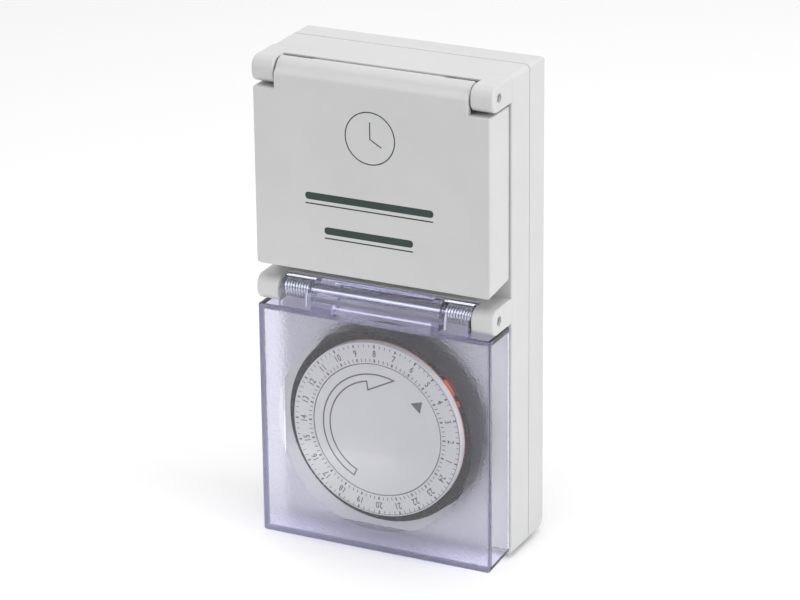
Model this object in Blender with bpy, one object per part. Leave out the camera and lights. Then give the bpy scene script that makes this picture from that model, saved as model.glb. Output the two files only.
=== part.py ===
"""Outdoor 24-hour plug-in timer: a two-shell housing with a sprung socket flap, a clear sprung
dial cover, a segment dial with its gear train and motor, a microswitch and a mains plug.

Frame: +Z up, the front faces -Y, and the origin is the centre of the flat back face.
"""

import math

import bmesh
import bpy
from mathutils import Matrix, Vector

MM = 0.001

# Housing
WIDTH = 76 * MM
HEIGHT = 148 * MM
REAR_DEPTH = 11 * MM
FACE_DEPTH = 23.5 * MM
WALL = 2.2 * MM
CORNER = 1.5 * MM
GAP = 0.3 * MM

# Hinged lids
LID_FRONT = 37 * MM
LID_WALL = 2 * MM
LID_SIDE = 37.4 * MM
LEAF_SIDE = 30.6 * MM
EAR_SIDE = 31 * MM
AXIS_BEHIND_FRONT = 5 * MM
AXIS_Y = -(LID_FRONT - AXIS_BEHIND_FRONT)
FLAP_AXIS_Z = 70.15 * MM
COVER_AXIS_Z = 3.4 * MM
LID_TOP_BELOW_AXIS = 4.75 * MM
BARREL_RADIUS = 3.85 * MM
PIN_RADIUS = 1.2 * MM
PIN_BORE = 1.45 * MM
FLAP_BOTTOM = (11.3 * MM, 12.6 * MM)
COVER_BOTTOM = (-74.3 * MM, -73.4 * MM)
POCKET_INNER = 20.6 * MM
COVER_THROAT = 16 * MM

# Socket and plug
SOCKET_Z = 37.5 * MM
WELL_RADIUS = 19.8 * MM
WELL_OUTER = 21.2 * MM
WELL_FRONT = 33.5 * MM
WELL_DEPTH = 17.5 * MM
CONTACT_PITCH = 19 * MM
PLUG_LENGTH = 19 * MM
PLUG_RADIUS = 18.7 * MM
PLUG_PIN_RADIUS = 2.4 * MM
PLUG_PIN_REACH = 38 * MM

# Dial and gear train
DIAL_Z = -36 * MM
DIAL_FACE = 34.4 * MM
DIAL_RADIUS = 27.3 * MM
CENTRE_RADIUS = 20.6 * MM
RING_RADIUS = 30.1 * MM
RING_FACE = 31.6 * MM
RING_FOOT = 23.5 * MM
SEGMENTS = 96
DIAL_BORE = 30.9 * MM
POST_RADIUS = 2.5 * MM
COARSE_MODULE = 0.8 * MM
FINE_MODULE = 0.5 * MM
DIAL_TEETH = 60
PINION_TEETH = 10
IDLER_TEETH = 30
MOTOR_TEETH = 20
IDLER_X = -24 * MM
IDLER_Z = DIAL_Z + 14.4222 * MM
MOTOR_X = IDLER_X + 12.5 * MM
PLATE_BACK = 13.1 * MM
PLATE_FRONT = 14.3 * MM

# First segment of the loose group, and which of the five stand pushed in
LOOSE_START_DEG = 22.75
SEGMENT_DEG = 360 / SEGMENTS
LOOSE_PUSHED = (True, False, True, True, True)
PUSH_TRAVEL = 1.4 * MM

TURN_STEPS = 40
TO_FRONT = Matrix.Rotation(math.radians(90), 4, "X")

for old in list(bpy.data.objects):
    bpy.data.objects.remove(old, do_unlink=True)

parts = bpy.data.collections.new("plug_in_timer")
cutters = bpy.data.collections.new("cutters")
bpy.context.scene.collection.children.link(parts)
bpy.context.scene.collection.children.link(cutters)


def material(name, colour, roughness, metallic=0.0, alpha=1.0):
    """A plain Principled material; alpha below 1 marks the clear plastic."""
    made = bpy.data.materials.new(name)
    made.use_nodes = True
    shader = made.node_tree.nodes["Principled BSDF"]
    shader.inputs["Base Color"].default_value = (*colour, 1.0)
    shader.inputs["Roughness"].default_value = roughness
    shader.inputs["Metallic"].default_value = metallic
    shader.inputs["Alpha"].default_value = alpha
    return made


GREY_SHELL = material("grey_shell", (0.66, 0.66, 0.65), 0.42)
DARK_SHELL = material("dark_insert", (0.09, 0.09, 0.1), 0.5)
CLEAR = material("violet_clear", (0.62, 0.6, 0.86), 0.12, alpha=0.4)
DIAL_GREY = material("dial_grey", (0.72, 0.73, 0.77), 0.45)
SEGMENT_BLACK = material("segment_black", (0.07, 0.07, 0.075), 0.5)
CARRIER_ORANGE = material("carrier_orange", (0.78, 0.2, 0.11), 0.5)
NATURAL = material("natural_nylon", (0.86, 0.84, 0.78), 0.45)
RUBBER = material("seal_rubber", (0.05, 0.05, 0.05), 0.8)
STEEL = material("zinc_steel", (0.68, 0.7, 0.72), 0.3, 1.0)
BRASS = material("contact_brass", (0.8, 0.62, 0.3), 0.3, 1.0)
NICKEL = material("pin_nickel", (0.72, 0.7, 0.66), 0.22, 1.0)


def publish(obj, finish=None):
    """Puts an object in the parts, or hides it with the cutters when it has no finish."""
    for holder in list(obj.users_collection):
        holder.objects.unlink(obj)
    if finish is None:
        cutters.objects.link(obj)
        obj.hide_render = True
        obj.display_type = "WIRE"
        return obj
    parts.objects.link(obj)
    obj.data.materials.clear()
    obj.data.materials.append(finish)
    obj.data.shade_smooth()
    obj.data.set_sharp_from_angle(angle=math.radians(30))
    return obj


def from_bmesh(name, shape, finish=None):
    bmesh.ops.recalc_face_normals(shape, faces=shape.faces)
    mesh = bpy.data.meshes.new(name)
    shape.to_mesh(mesh)
    shape.free()
    obj = bpy.data.objects.new(name, mesh)
    bpy.context.scene.collection.objects.link(obj)
    return publish(obj, finish)


def box(name, low, high, finish=None, bevel=0.0, edges=None, segments=3):
    """A box between two corners, with the edges that the test picks rounded."""
    shape = bmesh.new()
    size = Vector(high) - Vector(low)
    centre = (Vector(high) + Vector(low)) / 2
    bmesh.ops.create_cube(shape, size=1.0, matrix=Matrix.Translation(centre) @ Matrix.Diagonal((*size, 1.0)))
    if bevel:
        picked = [edge for edge in shape.edges if edges is None or edges(edge)]
        bmesh.ops.bevel(shape, geom=picked, offset=bevel, segments=segments, profile=0.5, affect="EDGES")
    return from_bmesh(name, shape, finish)


def along(axis):
    """A test for edges that run along X, Y or Z."""
    def test(edge):
        run = edge.verts[1].co - edge.verts[0].co
        return abs(run[axis]) > 0.9 * run.length
    return test


def cylinder(name, radius, start, end, axis, finish=None, sides=24):
    """A cylinder between two points on one axis."""
    start, end = Vector(start), Vector(end)
    turn = {"X": Matrix.Rotation(math.radians(90), 4, "Y"), "Y": TO_FRONT, "Z": Matrix()}[axis]
    shape = bmesh.new()
    bmesh.ops.create_cone(
        shape, cap_ends=True, segments=sides, radius1=radius, radius2=radius,
        depth=(end - start).length, matrix=Matrix.Translation((start + end) / 2) @ turn,
    )
    return from_bmesh(name, shape, finish)


def plate(name, outlines, low, high, axis, finish=None):
    """A flat outline, with any holes, extruded along X or Y between two positions."""
    curve = bpy.data.curves.new(name, "CURVE")
    curve.dimensions = "2D"
    curve.fill_mode = "BOTH"
    curve.extrude = (high - low) / 2
    for outline in outlines:
        spline = curve.splines.new("POLY")
        spline.points.add(len(outline) - 1)
        for point, (u, v) in zip(spline.points, outline):
            point.co = (u, v, 0, 1)
        spline.use_cyclic_u = True
    flat = bpy.data.objects.new(name + "_flat", curve)
    bpy.context.scene.collection.objects.link(flat)
    bpy.context.view_layer.update()
    solid = flat.evaluated_get(bpy.context.evaluated_depsgraph_get())
    mesh = bpy.data.meshes.new_from_object(solid)
    bpy.data.objects.remove(flat, do_unlink=True)
    shape = bmesh.new()
    shape.from_mesh(mesh)
    bpy.data.meshes.remove(mesh)
    bmesh.ops.remove_doubles(shape, verts=shape.verts, dist=1e-7)
    middle = (low + high) / 2
    if axis == "X":
        place = Matrix(((0, 0, 1, middle), (1, 0, 0, 0), (0, 1, 0, 0), (0, 0, 0, 1)))
    else:
        place = Matrix(((1, 0, 0, 0), (0, 0, -1, middle), (0, 1, 0, 0), (0, 0, 0, 1)))
    bmesh.ops.transform(shape, matrix=place, verts=shape.verts)
    return from_bmesh(name, shape, finish)


def turned(name, profile, centre, finish=None, steps=TURN_STEPS, turn=TO_FRONT):
    """A (radius, height) profile turned round the axis that faces the front at the centre."""
    shape = bmesh.new()
    points = [shape.verts.new((radius, 0, height)) for radius, height in profile]
    runs = [shape.edges.new((a, b)) for a, b in zip(points, points[1:])]
    if all(radius > 0 for radius, _ in profile):
        runs.append(shape.edges.new((points[-1], points[0])))
    bmesh.ops.spin(shape, geom=points + runs, cent=(0, 0, 0), axis=(0, 0, 1), angle=2 * math.pi, steps=steps)
    bmesh.ops.remove_doubles(shape, verts=shape.verts, dist=1e-7)
    bmesh.ops.transform(shape, matrix=Matrix.Translation(centre) @ turn, verts=shape.verts)
    return from_bmesh(name, shape, finish)


def arc(cx, cy, radius, start, end, count):
    """Points of an arc in degrees, both ends included."""
    step = (end - start) / (count - 1)
    angles = [math.radians(start + step * i) for i in range(count)]
    return [(cx + radius * math.cos(a), cy + radius * math.sin(a)) for a in angles]


def circle(cx, cy, radius, count=32):
    return arc(cx, cy, radius, 0, 360 - 360 / count, count)


def rounded(x0, x1, z0, z1, radius, count=4):
    """The outline of a rectangle with round corners."""
    return (
        arc(x1 - radius, z1 - radius, radius, 0, 90, count)
        + arc(x0 + radius, z1 - radius, radius, 90, 180, count)
        + arc(x0 + radius, z0 + radius, radius, 180, 270, count)
        + arc(x1 - radius, z0 + radius, radius, 270, 360, count)
    )


def apply_boolean(obj, other, operation):
    """One exact Boolean, kept as a modifier; the other object becomes a hidden cutter."""
    publish(other)
    step = obj.modifiers.new(other.name, "BOOLEAN")
    step.operation = operation
    step.solver = "EXACT"
    step.object = other
    return obj


def cut(obj, *others):
    for other in others:
        apply_boolean(obj, other, "DIFFERENCE")
    return obj


def join(obj, *others):
    for other in others:
        apply_boolean(obj, other, "UNION")
    return obj


def common(obj, *others):
    for other in others:
        apply_boolean(obj, other, "INTERSECT")
    return obj


# --- Housing -------------------------------------------------------------------------------

HALF_W = WIDTH / 2
HALF_H = HEIGHT / 2
CASE_SCREWS = [(sx * 28.5 * MM, z) for z in (-64.5 * MM, 64.5 * MM) for sx in (-1, 1)]
PLATE_SCREWS = [(sx * x, z) for x, z in ((28.5 * MM, -6.2 * MM), (32 * MM, -52 * MM)) for sx in (-1, 1)]
SCREW_HOLE = 1.7 * MM
SCREW_HEAD = 3.4 * MM


def rounded_tub():
    """The rear shell's block, with round corners and a small round on its back edges."""
    shape = bmesh.new()
    size = (WIDTH, REAR_DEPTH, HEIGHT)
    place = Matrix.Translation((0, -REAR_DEPTH / 2, 0)) @ Matrix.Diagonal((*size, 1.0))
    bmesh.ops.create_cube(shape, size=1.0, matrix=place)
    corners = [edge for edge in shape.edges if along(1)(edge)]
    bmesh.ops.bevel(shape, geom=corners, offset=CORNER, segments=3, profile=0.5, affect="EDGES")
    back = [edge for edge in shape.edges if all(abs(vert.co.y) < 1e-6 for vert in edge.verts)]
    bmesh.ops.bevel(shape, geom=back, offset=1.3 * MM, segments=3, profile=0.5, affect="EDGES")
    return from_bmesh("rear_housing", shape, GREY_SHELL)


def edge_rounder(name, edge_z, radius):
    """Cutter that rounds the back edge at the top or the bottom to a larger radius."""
    sign = 1 if edge_z > 0 else -1
    past = 2 * MM
    bow = arc(-radius, radius, radius, 3, -93, 8)
    outline = [(past, bow[0][1] + MM), *bow, (bow[-1][0] - MM, -past), (past, -past)]
    return plate(name, [[(y, edge_z - sign * z) for y, z in outline]], -HALF_W - MM, HALF_W + MM, "X")


def make_rear_housing():
    """Rear shell: a tub with a large round along its bottom edge and four sunk screw bosses."""
    far = 20 * MM
    shell = rounded_tub()
    for label, edge_z, radius in (("top", HALF_H, 3.5 * MM), ("bottom", -HALF_H, 6 * MM)):
        cut(shell, edge_rounder(f"rear_{label}_round", edge_z, radius))
    cut(shell, plate("rear_hollow", [rounded(-HALF_W + WALL, HALF_W - WALL, -HALF_H + WALL, HALF_H - WALL, CORNER)],
                     -REAR_DEPTH - far, -WALL - 0.8 * MM, "Y"))
    for i, (x, z) in enumerate(CASE_SCREWS):
        join(shell, cylinder(f"rear_boss_{i}", 4.5 * MM, (x, -8.7 * MM, z), (x, -1.5 * MM, z), "Y"))
    for i, (x, z) in enumerate(CASE_SCREWS):
        cut(shell, cylinder(f"rear_hole_{i}", SCREW_HOLE, (x, -12 * MM, z), (x, 2 * MM, z), "Y", sides=16))
        cut(shell, cylinder(f"rear_sink_{i}", SCREW_HEAD, (x, -4 * MM, z), (x, 2 * MM, z), "Y", sides=20))
    cut(shell, cylinder("rear_plug_hole", 15 * MM, (0, -far, SOCKET_Z), (0, far, SOCKET_Z), "Y", sides=40))


def ear_outline(axis_z):
    """Side view of a hinge ear: a nose with two round corners in front of the front face."""
    nose, low, high, soft = AXIS_Y - 4.5 * MM, axis_z - 4 * MM, axis_z + 3.8 * MM, 3.3 * MM
    root = -FACE_DEPTH + 0.6 * MM
    return (
        [(root, low)] + arc(nose + soft, low + soft, soft, 270, 180, 6)
        + arc(nose + soft, high - soft, soft, 180, 90, 6) + [(root, high)]
    )


def lip_outline(axis_z):
    """Side view of the ledge that roofs a lid's barrel, hollowed round the hinge axis."""
    root, reach = -FACE_DEPTH + 0.6 * MM, 4.2 * MM
    hollow = arc(AXIS_Y, axis_z, reach, 0, 48, 4)
    top = axis_z + 3.8 * MM
    return [(root, axis_z), *hollow, (hollow[-1][0], top), (root, top)]


def make_front_housing():
    """Front shell: flat face with the socket and dial openings, four hinge ears and two ledges."""
    shell = plate("front_housing", [rounded(-HALF_W, HALF_W, -HALF_H, HALF_H, CORNER)],
                  -FACE_DEPTH, -REAR_DEPTH - GAP, "Y", GREY_SHELL)
    for label, axis_z in (("flap", FLAP_AXIS_Z), ("cover", COVER_AXIS_Z)):
        for sign, hand in ((-1, "left"), (1, "right")):
            low, high = sorted((sign * EAR_SIDE, sign * (HALF_W - 0.04 * MM)))
            join(shell, plate(f"{label}_ear_{hand}", [ear_outline(axis_z)], low, high, "X"))
        join(shell, plate(f"{label}_ledge", [lip_outline(axis_z)], -EAR_SIDE - MM, EAR_SIDE + MM, "X"))
    far = 40 * MM
    cut(shell, plate("front_hollow", [rounded(-HALF_W + WALL, HALF_W - WALL, -HALF_H + WALL, HALF_H - WALL, CORNER)],
                     -FACE_DEPTH + WALL, 0, "Y"))
    for i, (x, z) in enumerate(CASE_SCREWS):
        join(shell, cylinder(f"front_boss_{i}", 4 * MM, (x, -9 * MM, z), (x, -22 * MM, z), "Y", sides=20))
    for i, (x, z) in enumerate(PLATE_SCREWS):
        join(shell, cylinder(f"plate_boss_{i}", 2.5 * MM, (x, -14.6 * MM, z), (x, -22 * MM, z), "Y", sides=16))
    for i, (x, z) in enumerate(CASE_SCREWS):
        cut(shell, cylinder(f"front_hole_{i}", SCREW_HOLE, (x, 0, z), (x, -18.5 * MM, z), "Y", sides=16))
    for i, (x, z) in enumerate(PLATE_SCREWS):
        cut(shell, cylinder(f"plate_hole_{i}", 1.2 * MM, (x, 0, z), (x, -20 * MM, z), "Y", sides=12))
    cut(shell, cylinder("socket_hole", WELL_OUTER + GAP, (0, -far, SOCKET_Z), (0, 0, SOCKET_Z), "Y", sides=48))
    cut(shell, cylinder("dial_hole", DIAL_BORE, (0, -far, DIAL_Z), (0, 0, DIAL_Z), "Y", sides=56))
    for label, axis_z in (("flap", FLAP_AXIS_Z), ("cover", COVER_AXIS_Z)):
        cut(shell, cylinder(f"{label}_pin_hole", PIN_BORE, (-far, AXIS_Y, axis_z), (far, AXIS_Y, axis_z), "X", sides=20))


def make_housing_seal():
    """Rubber cord frame squeezed inside the seam between the two shells."""
    x, z, thick = 35.5 * MM, 71.5 * MM, 1.5 * MM
    outer = rounded(-x, x, -z, z, 2 * MM)
    inner = rounded(-x + thick, x - thick, -z + thick, z - thick, 1 * MM)
    plate("housing_seal", [outer, inner], -12.6 * MM, -9.8 * MM, "Y", RUBBER)


def make_screw(name, x, z, seat, head, shank, length):
    """A pan-head screw driven from the back, with a cross recess."""
    top = 2 * MM
    profile = [(0, top), (head * 0.7, top), (head, top * 0.55), (head, 0), (shank, 0),
               (shank, -length + shank), (0.3 * MM, -length), (0, -length)]
    facing_back = Matrix.Rotation(math.radians(-90), 4, "X")
    screw = turned(name, profile, (x, seat, z), STEEL, 12, facing_back)
    half, thin, deep = head * 0.55, 0.35 * MM, 1.1 * MM
    face = seat + top
    cut(screw, box(name + "_cross_x", (x - half, face - deep, z - thin), (x + half, face + MM, z + thin)))
    cut(screw, box(name + "_cross_z", (x - thin, face - deep, z - half), (x + thin, face + MM, z + half)))


# --- Plug and socket -----------------------------------------------------------------------

HALF_PITCH = CONTACT_PITCH / 2


def make_plug_body():
    """Moulded two-pole plug on the back, with side grooves and flats for the earth strips."""
    body = turned("plug_body", [
        (3 * MM, -PLUG_LENGTH), (3 * MM, 2.5 * MM), (14.7 * MM, 2.5 * MM), (14.7 * MM, -GAP),
        (PLUG_RADIUS, -GAP), (PLUG_RADIUS, -PLUG_LENGTH + 1.2 * MM), (PLUG_RADIUS - 1.2 * MM, -PLUG_LENGTH),
    ], (0, 0, SOCKET_Z), DARK_SHELL)
    core = cylinder("plug_core", 4 * MM, (0, -2.5 * MM, SOCKET_Z), (0, PLUG_LENGTH, SOCKET_Z), "Y")
    join(body, core)
    for sign, hand in ((-1, "left"), (1, "right")):
        x = sign * HALF_PITCH
        cut(body, cylinder(f"plug_bore_{hand}", 2.6 * MM, (x, -5 * MM, SOCKET_Z), (x, 25 * MM, SOCKET_Z), "Y", sides=20))
        cut(body, cylinder(f"sleeve_bore_{hand}", 3.7 * MM, (x, -5 * MM, SOCKET_Z), (x, 3.8 * MM, SOCKET_Z), "Y", sides=20))
        low, high = sorted((sign * 16.9 * MM, sign * 22 * MM))
        cut(body, box(f"guide_groove_{hand}", (low, 2.5 * MM, SOCKET_Z - 2.2 * MM), (high, 30 * MM, SOCKET_Z + 2.2 * MM)))
    for sign, end in ((-1, "low"), (1, "high")):
        low, high = sorted((SOCKET_Z + sign * 17.3 * MM, SOCKET_Z + sign * 25 * MM))
        cut(body, box(f"strip_flat_{end}", (-3.6 * MM, 1.2 * MM, low), (3.6 * MM, 30 * MM, high)))
    cut(body, cylinder("earth_socket", 2.6 * MM, (0, 4 * MM, SOCKET_Z + 10 * MM), (0, 30 * MM, SOCKET_Z + 10 * MM), "Y"))


def make_plug_strips():
    """Two sprung earth strips bowed over the flats at the top and bottom of the plug."""
    for sign, end in ((-1, "lower"), (1, "upper")):
        base, bow, thick = 17.6 * MM, 18.9 * MM, 0.6 * MM
        outer = [(1.6 * MM, base + thick), (5 * MM, bow), (12 * MM, bow), (18.2 * MM, base + thick)]
        inner = [(18.2 * MM, base), (12 * MM, bow - thick), (5 * MM, bow - thick), (1.6 * MM, base)]
        outline = [(y, SOCKET_Z + sign * z) for y, z in outer + inner]
        plate(f"plug_earth_strip_{end}", [outline], -3 * MM, 3 * MM, "X", NICKEL)


def make_plug_pins():
    for name, sign in (("live_pin", 1), ("neutral_pin", -1)):
        x = sign * HALF_PITCH
        tip = 1.2 * MM
        low = 4.6 * MM
        profile = [(0, -low), (PLUG_PIN_RADIUS, -low), (PLUG_PIN_RADIUS, -PLUG_PIN_REACH + tip),
                   (PLUG_PIN_RADIUS - tip, -PLUG_PIN_REACH), (0, -PLUG_PIN_REACH)]
        turned(name, profile, (x, 0, SOCKET_Z), NICKEL, 20)


def make_plug_seal():
    """Soft ring that presses on the rim of the wall outlet."""
    plate("plug_seal", [circle(0, SOCKET_Z, 21.6 * MM, 40), circle(0, SOCKET_Z, 19.1 * MM, 40)],
          GAP, 2.6 * MM, "Y", RUBBER)


def make_socket_insert():
    """Round socket well let into the front shell from behind, with a shoulder inside."""
    floor = WELL_FRONT - WELL_DEPTH
    back = 13.5 * MM
    profile = [(0, floor), (WELL_RADIUS, floor), (WELL_RADIUS, WELL_FRONT), (WELL_OUTER, WELL_FRONT),
               (WELL_OUTER, 21 * MM), (23.6 * MM, 21 * MM), (23.6 * MM, 19.4 * MM), (WELL_OUTER, 19.4 * MM),
               (WELL_OUTER, back), (0, back)]
    well = turned("socket_insert", profile, (0, 0, SOCKET_Z), GREY_SHELL, 40)
    for sign, hand in ((-1, "left"), (1, "right")):
        low, high = sorted((sign * 18 * MM, sign * 20.4 * MM))
        join(well, box(f"guide_rib_{hand}", (low, -28 * MM, SOCKET_Z - 2 * MM), (high, -15 * MM, SOCKET_Z + 2 * MM)))
    for sign, hand in ((-1, "left"), (1, "right")):
        x = sign * HALF_PITCH
        cut(well, cylinder(f"contact_hole_{hand}", 3.6 * MM, (x, -30 * MM, SOCKET_Z), (x, 0, SOCKET_Z), "Y", sides=20))
        low, high = sorted((SOCKET_Z + sign * 17 * MM, SOCKET_Z + sign * 19.9 * MM))
        cut(well, box(f"earth_slot_{hand}", (-3.4 * MM, -17 * MM, low), (3.4 * MM, -10 * MM, high)))


def make_earth_clip():
    """One brass strap behind the well, with its two springy ends inside it."""
    run = 19.3 * MM
    thick = 0.8 * MM
    back, tip, bow = 12.9 * MM, 30.5 * MM, 17.9 * MM
    outer = [(-back, run - thick), (-back, -run + thick)]
    lower = [(-26 * MM, -bow), (-tip, -run + thick), (-tip, -run), (-26 * MM, -bow - thick), (-back + thick, -run)]
    upper = [(y, -z) for y, z in reversed(lower)]
    outline = [(y, SOCKET_Z + z) for y, z in [*outer, *lower, *upper]]
    plate("earth_clip", [outline], -3 * MM, 3 * MM, "X", BRASS)


def make_contacts():
    """Sleeves behind the well that take the pins of the plug put in at the front."""
    for name, sign in (("live_contact", 1), ("neutral_contact", -1)):
        x = sign * HALF_PITCH
        turned(name, [(2.6 * MM, -3 * MM), (2.6 * MM, 13.2 * MM), (3.3 * MM, 13.2 * MM), (3.3 * MM, -3 * MM)],
               (x, 0, SOCKET_Z), BRASS, 20)


def make_socket_gasket():
    plate("socket_gasket", [circle(0, SOCKET_Z, 22.6 * MM, 40), circle(0, SOCKET_Z, 21.5 * MM, 40)],
          -25.5 * MM, -23.8 * MM, "Y", RUBBER)


# --- Lids, pins and springs ----------------------------------------------------------------


def leaf_outline(axis_z):
    """Side view of a lid's hinge leaf: the front wall rolling over into the barrel."""
    front, top = -LID_FRONT, axis_z - LID_TOP_BELOW_AXIS
    lap = MM
    roll = [(front, axis_z - 0.6 * MM), (front + 0.35 * MM, axis_z + 0.55 * MM)]
    barrel = arc(AXIS_Y, axis_z, BARREL_RADIUS, 158, -60, 14)
    back = barrel[-1][0]
    return [(back, top - lap), (front, top - lap), *roll, *barrel]


def make_lid(name, axis_z, bottom, finish, throat=0):
    """A box lid: walls round a hollow, a hinge leaf between the ears and two spring pockets.

    The throat is half the width of the gap in the top wall that lets the lid swing past the dial.
    """
    top = axis_z - LID_TOP_BELOW_AXIS
    front, rim, far = -LID_FRONT, -FACE_DEPTH - GAP, 20 * MM
    low_front, low_rear = bottom
    lid = plate(name, [[(front, top), (front, low_front), (rim, low_rear), (rim, top)]], -LID_SIDE, LID_SIDE, "X", finish)
    inner = LID_SIDE - LID_WALL
    slope = (low_rear - low_front) / (rim - front)
    reach = rim + 2 * MM
    hollow = [(front + LID_WALL, top - LID_WALL), (front + LID_WALL, low_front + LID_WALL + slope * LID_WALL),
              (reach, low_front + LID_WALL + slope * (reach - front)), (reach, top - LID_WALL)]
    cut(lid, plate(name + "_hollow", [hollow], -inner, inner, "X"))
    if throat:
        cut(lid, box(name + "_throat", (-throat, AXIS_Y + 3.5 * MM, top - 4 * MM), (throat, rim + far, top + far)))
    join(lid, plate(name + "_leaf", [leaf_outline(axis_z)], -LEAF_SIDE, LEAF_SIDE, "X"))
    for sign, hand in ((-1, "left"), (1, "right")):
        low, high = sorted((sign * POCKET_INNER, sign * (LEAF_SIDE + MM)))
        cut(lid, box(f"{name}_pocket_{hand}", (low, AXIS_Y - 3.1 * MM, top - 0.1 * MM), (high, AXIS_Y + far, axis_z)))
        cut(lid, cylinder(f"{name}_coil_room_{hand}", 3.05 * MM, (low, AXIS_Y, axis_z), (high, AXIS_Y, axis_z), "X"))
        cut(lid, box(f"{name}_leg_room_{hand}", (low, AXIS_Y + 0.3 * MM, axis_z - MM), (high, AXIS_Y + far, axis_z + far)))
    cut(lid, cylinder(name + "_bore", PIN_BORE, (-LEAF_SIDE - MM, AXIS_Y, axis_z), (LEAF_SIDE + MM, AXIS_Y, axis_z),
                      "X", sides=20))


def make_hinge_pin(name, axis_z):
    reach = HALF_W - 0.7 * MM
    cylinder(name, PIN_RADIUS, (-reach, AXIS_Y, axis_z), (reach, AXIS_Y, axis_z), "X", STEEL, sides=20)


def make_spring(name, axis_z, sign):
    """A torsion spring on the pin: one leg behind the lid's front wall, one on the housing face."""
    mean, wire, steps = 2.3 * MM, 0.33 * MM, 66
    start, end = 22.2 * MM, 29.6 * MM
    first, sweep = math.radians(180), math.radians(7 * 360 + 130)
    points = [Vector((start, AXIS_Y - mean - 0.15 * MM, axis_z - 4.1 * MM))]
    for i in range(steps + 1):
        turn = first - sweep * i / steps
        x = start + (end - start) * i / steps
        points.append(Vector((x, AXIS_Y + mean * math.cos(turn), axis_z + mean * math.sin(turn))))
    points.append(Vector((end, AXIS_Y + 7.8 * MM, axis_z - 3.55 * MM)))
    curve = bpy.data.curves.new(name, "CURVE")
    curve.dimensions = "3D"
    curve.bevel_depth = wire
    curve.bevel_resolution = 0
    curve.use_fill_caps = True
    spline = curve.splines.new("POLY")
    spline.points.add(len(points) - 1)
    for point, co in zip(spline.points, points):
        point.co = (sign * co.x, co.y, co.z, 1)
    obj = bpy.data.objects.new(name, curve)
    bpy.context.scene.collection.objects.link(obj)
    for holder in list(obj.users_collection):
        holder.objects.unlink(obj)
    parts.objects.link(obj)
    curve.materials.append(STEEL)


# --- Dial ----------------------------------------------------------------------------------

DIAL_CENTRE = (0, 0, DIAL_Z)


def make_number_dial():
    """Number ring with its rim, a web behind the fixed centre and a hub on the post."""
    face, web = DIAL_FACE, 32.8 * MM
    turned("number_dial", [(2.75 * MM, 22 * MM), (2.75 * MM, web), (CENTRE_RADIUS + 0.3 * MM, web),
                           (CENTRE_RADIUS + 0.3 * MM, face), (DIAL_RADIUS, face), (DIAL_RADIUS, 32.1 * MM),
                           (25.3 * MM, 32.1 * MM), (25.3 * MM, 31.6 * MM), (6 * MM, 31.6 * MM), (6 * MM, 22 * MM)],
           DIAL_CENTRE, DIAL_GREY, 48)


def make_centre_disc():
    turned("centre_disc", [(0, DIAL_FACE), (CENTRE_RADIUS, DIAL_FACE), (CENTRE_RADIUS, 33.1 * MM), (0, 33.1 * MM)],
           DIAL_CENTRE, DIAL_GREY, 48)


def make_dial_post():
    cylinder("dial_post", POST_RADIUS, (0, -13.2 * MM, DIAL_Z), (0, -32.8 * MM, DIAL_Z), "Y", STEEL)


def make_dial_carrier():
    """Orange sleeve and rear flange that hold the segments."""
    turned("dial_carrier", [(25.7 * MM, 19.8 * MM), (25.7 * MM, 31.8 * MM), (DIAL_RADIUS, 31.8 * MM), (DIAL_RADIUS, 21.2 * MM),
                            (29.8 * MM, 21.2 * MM), (29.8 * MM, 19.8 * MM)], DIAL_CENTRE, CARRIER_ORANGE, 48)
    carrier = bpy.data.objects["dial_carrier"]
    web = plate("carrier_web", [circle(0, DIAL_Z, 26.5 * MM, 48), circle(0, DIAL_Z, 2.75 * MM, 24)],
                -21.2 * MM, -19.8 * MM, "Y")
    join(carrier, web)


def segment_outline(first_deg, inner, outer, notch):
    """One segment's outline between two radii, narrowed to leave a slit on each side."""
    slit = math.degrees(0.14 * MM / outer)
    a, b = first_deg + slit, first_deg + SEGMENT_DEG - slit
    return (
        [(outer * math.cos(math.radians(t)), outer * math.sin(math.radians(t))) for t in (a, b)],
        [(notch * math.cos(math.radians(t)), notch * math.sin(math.radians(t))) for t in (a, b)],
        [(inner * math.cos(math.radians(t)), inner * math.sin(math.radians(t))) for t in (b, a)],
    )


def make_tripper_ring():
    """The segments that stay out, one slotted ring with an opening for the five loose ones."""
    inner, outer, notch = 27.6 * MM, RING_RADIUS, 28.9 * MM
    outline = []
    for i in range(SEGMENTS):
        tip, root, _ = segment_outline(LOOSE_START_DEG + i * SEGMENT_DEG, inner, outer, notch)
        outline += [root[0], tip[0], tip[1], root[1]]
    outline = [(x, DIAL_Z + z) for x, z in outline]
    ring = plate("tripper_ring", [outline, circle(0, DIAL_Z, inner, 48)], -RING_FACE, -RING_FOOT + 0.5 * MM, "Y", SEGMENT_BLACK)
    start, end = LOOSE_START_DEG, LOOSE_START_DEG + len(LOOSE_PUSHED) * SEGMENT_DEG
    wide = arc(0, 0, 40 * MM, start, end, 5)
    tight = arc(0, 0, 20 * MM, end, start, 5)
    wedge = plate("loose_gap", [[(x, DIAL_Z + z) for x, z in wide + tight]], -RING_FACE - MM, -RING_FOOT - 0.3 * MM, "Y")
    cut(ring, wedge)
    foot = plate("ring_foot", [circle(0, DIAL_Z, 29.7 * MM, 48), circle(0, DIAL_Z, inner, 48)],
                 -RING_FOOT - 0.3 * MM, -21.6 * MM, "Y")
    join(ring, foot)


def make_loose_segments():
    """Five segments that slide on their own; the pushed ones stand back by the travel."""
    for i, pushed in enumerate(LOOSE_PUSHED):
        tip, _, root = segment_outline(LOOSE_START_DEG + i * SEGMENT_DEG, 27.7 * MM, RING_RADIUS, 0)
        shift = PUSH_TRAVEL if pushed else 0
        outline = [(x, DIAL_Z + z) for x, z in tip + root]
        plate(f"segment_{i + 1}", [outline], -RING_FACE + shift, -25.6 * MM + shift, "Y", SEGMENT_BLACK)


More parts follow.
